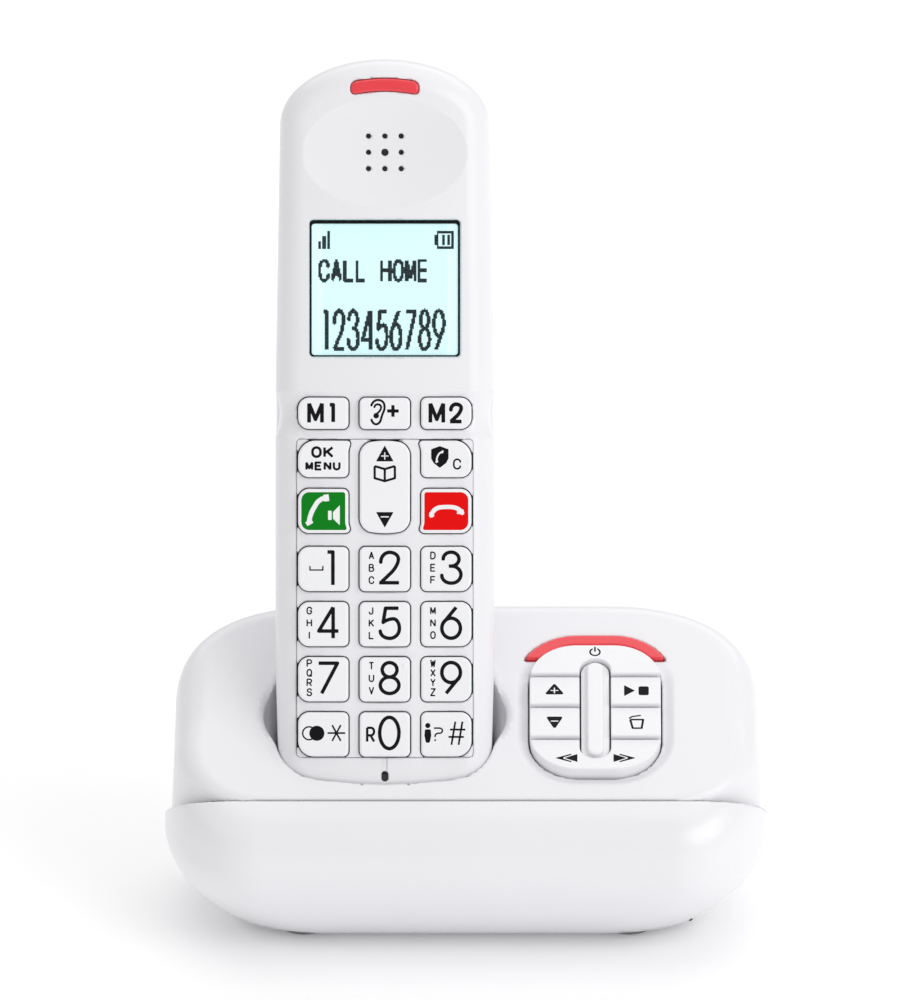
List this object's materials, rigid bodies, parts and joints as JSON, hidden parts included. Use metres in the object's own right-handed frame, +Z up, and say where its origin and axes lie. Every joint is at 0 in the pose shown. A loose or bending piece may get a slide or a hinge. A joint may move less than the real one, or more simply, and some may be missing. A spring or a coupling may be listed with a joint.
{
  "type": "cordless phone with base",
  "caption": "Cordless telephone: a handset with large keys and a display, standing in a charging base with answering machine controls.",
  "frame": {"origin": "middle of the bounding box in plan, on the table plane under the rubber feet", "axes": "+X towards the user's right, where the answering machine controls are; +Y away from the user; +Z up along the height"},
  "size_m": [0.1408, 0.093, 0.1968],
  "materials": {
    "white_shell": "glossy moulded ABS",
    "white_keys": "satin moulded plastic",
    "green_key": "satin green plastic with a white border",
    "red_key": "satin red plastic with a white border",
    "red_lens": "clear red light guide",
    "display_window": "clear acrylic",
    "screen": "backlit liquid-crystal screen",
    "silicone": "matte grey silicone",
    "circuit_board": "green solder mask",
    "gold_contacts": "gold plated",
    "steel": "plain steel",
    "black_plastic": "matte black",
    "battery_sleeve": "printed shrink sleeve",
    "rubber_feet": "soft grey rubber"
  },
  "bodies": {
    "base": {"base_top_cover": "white_shell", "base_front_fascia": "white_shell", "base_bottom_cover": "white_shell", "foot_front_left": "rubber_feet", "foot_front_right": "rubber_feet", "foot_rear_left": "rubber_feet", "foot_rear_right": "rubber_feet", "base_board": "circuit_board", "power_socket": "black_plastic", "line_socket": "black_plastic", "base_speaker": "steel", "charge_contact_left": "gold_contacts", "charge_contact_right": "gold_contacts", "control_rib": "white_keys", "base_key_mat": "silicone", "control_board": "circuit_board", "base_light_bar": "red_lens"},
    "handset": {"handset_front_cover": "white_shell", "handset_rear_cover": "white_shell", "keypad_frame": "white_shell", "display_window": "display_window", "handset_light_bar": "red_lens", "handset_key_mat": "silicone", "handset_board": "circuit_board", "display_module": "screen", "earpiece": "steel", "loudspeaker": "steel", "battery_cell_left": "battery_sleeve", "battery_cell_right": "battery_sleeve", "charge_pad_left": "gold_contacts", "charge_pad_right": "gold_contacts", "shell_screw_left": "steel", "shell_screw_right": "steel"},
    "battery_door": {"battery_door": "white_shell"},
    "key_navigation": {"key_navigation": "white_keys"},
    "skip_rocker": {"skip_rocker": "white_keys"},
    "key_memory_1": {"key_memory_1": "white_keys"},
    "key_volume_boost": {"key_volume_boost": "white_keys"},
    "key_memory_2": {"key_memory_2": "white_keys"},
    "key_ok_menu": {"key_ok_menu": "white_keys"},
    "key_clear_block": {"key_clear_block": "white_keys"},
    "key_talk": {"key_talk": "green_key"},
    "key_hang_up": {"key_hang_up": "red_key"},
    "key_digit_1": {"key_digit_1": "white_keys"},
    "key_digit_2": {"key_digit_2": "white_keys"},
    "key_digit_3": {"key_digit_3": "white_keys"},
    "key_digit_4": {"key_digit_4": "white_keys"},
    "key_digit_5": {"key_digit_5": "white_keys"},
    "key_digit_6": {"key_digit_6": "white_keys"},
    "key_digit_7": {"key_digit_7": "white_keys"},
    "key_digit_8": {"key_digit_8": "white_keys"},
    "key_digit_9": {"key_digit_9": "white_keys"},
    "key_digit_star": {"key_digit_star": "white_keys"},
    "key_digit_0": {"key_digit_0": "white_keys"},
    "key_digit_hash": {"key_digit_hash": "white_keys"},
    "answer_on_key": {"answer_on_key": "white_keys"},
    "volume_up_key": {"volume_up_key": "white_keys"},
    "volume_down_key": {"volume_down_key": "white_keys"},
    "play_stop_key": {"play_stop_key": "white_keys"},
    "delete_key": {"delete_key": "white_keys"}
  },
  "joints": [
    {"name": "handset_lift", "type": "slide", "parent": "base", "child": "handset", "axis": [0, 0.342, 0.9397], "range_m": [0, 0.06]},
    {"name": "battery_door_slide", "type": "slide", "parent": "handset", "child": "battery_door", "axis": [0, -0.342, -0.9397], "range_m": [0, 0.008]},
    {"name": "navigation_rock", "type": "hinge", "parent": "handset", "child": "key_navigation", "pos_m": [-0.019, -0.00743, 0.10551], "axis": [1, 0, 0], "range_deg": [-3, 3], "stiffness_Nm_per_rad": 0.06},
    {"name": "skip_rock", "type": "hinge", "parent": "base", "child": "skip_rocker", "pos_m": [0.03, -0.0263, 0.04464], "axis": [0, 0.8829, 0.4695], "range_deg": [-3, 3], "stiffness_Nm_per_rad": 0.08},
    {"name": "key_memory_1_press", "type": "slide", "parent": "handset", "child": "key_memory_1", "axis": [0, 0.9397, -0.342], "range_m": [0, 0.0008], "stiffness_N_per_m": 600},
    {"name": "key_volume_boost_press", "type": "slide", "parent": "handset", "child": "key_volume_boost", "axis": [0, 0.9397, -0.342], "range_m": [0, 0.0008], "stiffness_N_per_m": 600},
    {"name": "key_memory_2_press", "type": "slide", "parent": "handset", "child": "key_memory_2", "axis": [0, 0.9397, -0.342], "range_m": [0, 0.0008], "stiffness_N_per_m": 600},
    {"name": "key_ok_menu_press", "type": "slide", "parent": "handset", "child": "key_ok_menu", "axis": [0, 0.9397, -0.342], "range_m": [0, 0.0008], "stiffness_N_per_m": 600},
    {"name": "key_clear_block_press", "type": "slide", "parent": "handset", "child": "key_clear_block", "axis": [0, 0.9397, -0.342], "range_m": [0, 0.0008], "stiffness_N_per_m": 600},
    {"name": "key_talk_press", "type": "slide", "parent": "handset", "child": "key_talk", "axis": [0, 0.9397, -0.342], "range_m": [0, 0.0008], "stiffness_N_per_m": 600},
    {"name": "key_hang_up_press", "type": "slide", "parent": "handset", "child": "key_hang_up", "axis": [0, 0.9397, -0.342], "range_m": [0, 0.0008], "stiffness_N_per_m": 600},
    {"name": "key_digit_1_press", "type": "slide", "parent": "handset", "child": "key_digit_1", "axis": [0, 0.9397, -0.342], "range_m": [0, 0.0008], "stiffness_N_per_m": 600},
    {"name": "key_digit_2_press", "type": "slide", "parent": "handset", "child": "key_digit_2", "axis": [0, 0.9397, -0.342], "range_m": [0, 0.0008], "stiffness_N_per_m": 600},
    {"name": "key_digit_3_press", "type": "slide", "parent": "handset", "child": "key_digit_3", "axis": [0, 0.9397, -0.342], "range_m": [0, 0.0008], "stiffness_N_per_m": 600},
    {"name": "key_digit_4_press", "type": "slide", "parent": "handset", "child": "key_digit_4", "axis": [0, 0.9397, -0.342], "range_m": [0, 0.0008], "stiffness_N_per_m": 600},
    {"name": "key_digit_5_press", "type": "slide", "parent": "handset", "child": "key_digit_5", "axis": [0, 0.9397, -0.342], "range_m": [0, 0.0008], "stiffness_N_per_m": 600},
    {"name": "key_digit_6_press", "type": "slide", "parent": "handset", "child": "key_digit_6", "axis": [0, 0.9397, -0.342], "range_m": [0, 0.0008], "stiffness_N_per_m": 600},
    {"name": "key_digit_7_press", "type": "slide", "parent": "handset", "child": "key_digit_7", "axis": [0, 0.9397, -0.342], "range_m": [0, 0.0008], "stiffness_N_per_m": 600},
    {"name": "key_digit_8_press", "type": "slide", "parent": "handset", "child": "key_digit_8", "axis": [0, 0.9397, -0.342], "range_m": [0, 0.0008], "stiffness_N_per_m": 600},
    {"name": "key_digit_9_press", "type": "slide", "parent": "handset", "child": "key_digit_9", "axis": [0, 0.9397, -0.342], "range_m": [0, 0.0008], "stiffness_N_per_m": 600},
    {"name": "key_digit_star_press", "type": "slide", "parent": "handset", "child": "key_digit_star", "axis": [0, 0.9397, -0.342], "range_m": [0, 0.0008], "stiffness_N_per_m": 600},
    {"name": "key_digit_0_press", "type": "slide", "parent": "handset", "child": "key_digit_0", "axis": [0, 0.9397, -0.342], "range_m": [0, 0.0008], "stiffness_N_per_m": 600},
    {"name": "key_digit_hash_press", "type": "slide", "parent": "handset", "child": "key_digit_hash", "axis": [0, 0.9397, -0.342], "range_m": [0, 0.0008], "stiffness_N_per_m": 600},
    {"name": "answer_on_key_press", "type": "slide", "parent": "base", "child": "answer_on_key", "axis": [0, 0.4695, -0.8829], "range_m": [0, 0.0008], "stiffness_N_per_m": 600},
    {"name": "volume_up_key_press", "type": "slide", "parent": "base", "child": "volume_up_key", "axis": [0, 0.4695, -0.8829], "range_m": [0, 0.0008], "stiffness_N_per_m": 600},
    {"name": "volume_down_key_press", "type": "slide", "parent": "base", "child": "volume_down_key", "axis": [0, 0.4695, -0.8829], "range_m": [0, 0.0008], "stiffness_N_per_m": 600},
    {"name": "play_stop_key_press", "type": "slide", "parent": "base", "child": "play_stop_key", "axis": [0, 0.4695, -0.8829], "range_m": [0, 0.0008], "stiffness_N_per_m": 600},
    {"name": "delete_key_press", "type": "slide", "parent": "base", "child": "delete_key", "axis": [0, 0.4695, -0.8829], "range_m": [0, 0.0008], "stiffness_N_per_m": 600}
  ]
}
